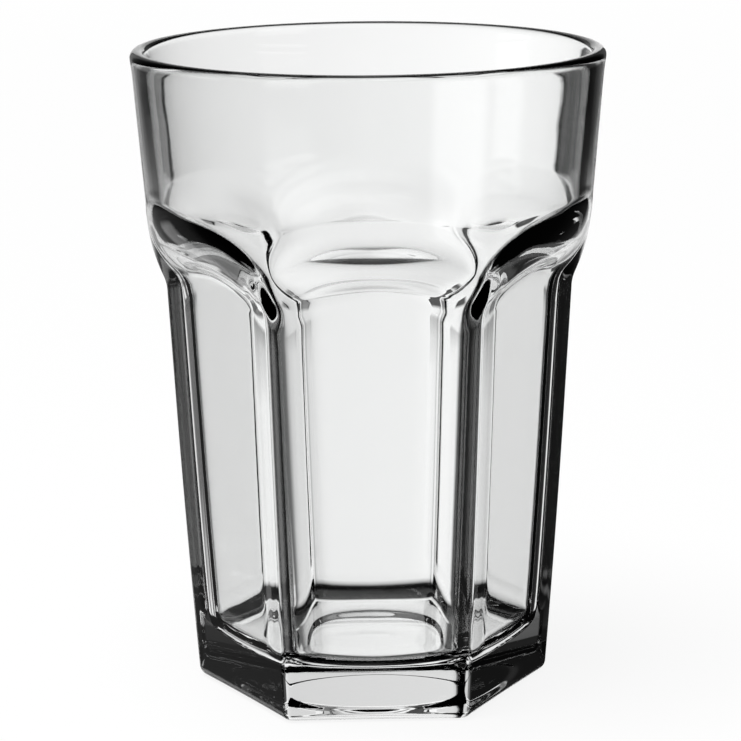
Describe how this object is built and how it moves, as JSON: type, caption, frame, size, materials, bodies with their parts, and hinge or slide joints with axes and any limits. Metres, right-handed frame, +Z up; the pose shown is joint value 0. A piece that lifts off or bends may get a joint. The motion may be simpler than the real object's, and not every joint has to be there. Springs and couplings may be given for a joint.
{
  "type": "beer glass",
  "caption": "Clear pressed beer glass with a round collar, arched flat panels between slim ribs, a thick base and a hexagonal foot.",
  "frame": {"origin": "centre of the foot, on the plane the glass stands on", "axes": "+Z up along the axis of the glass, -Y out of the middle of one flat panel, X through two opposite ribs"},
  "size_m": [0.094, 0.094, 0.13],
  "materials": {
    "clear_glass": "fire-polished clear glass, smooth and slightly wavy"
  },
  "bodies": {
    "root": {"tumbler": "clear_glass"}
  },
  "joints": []
}
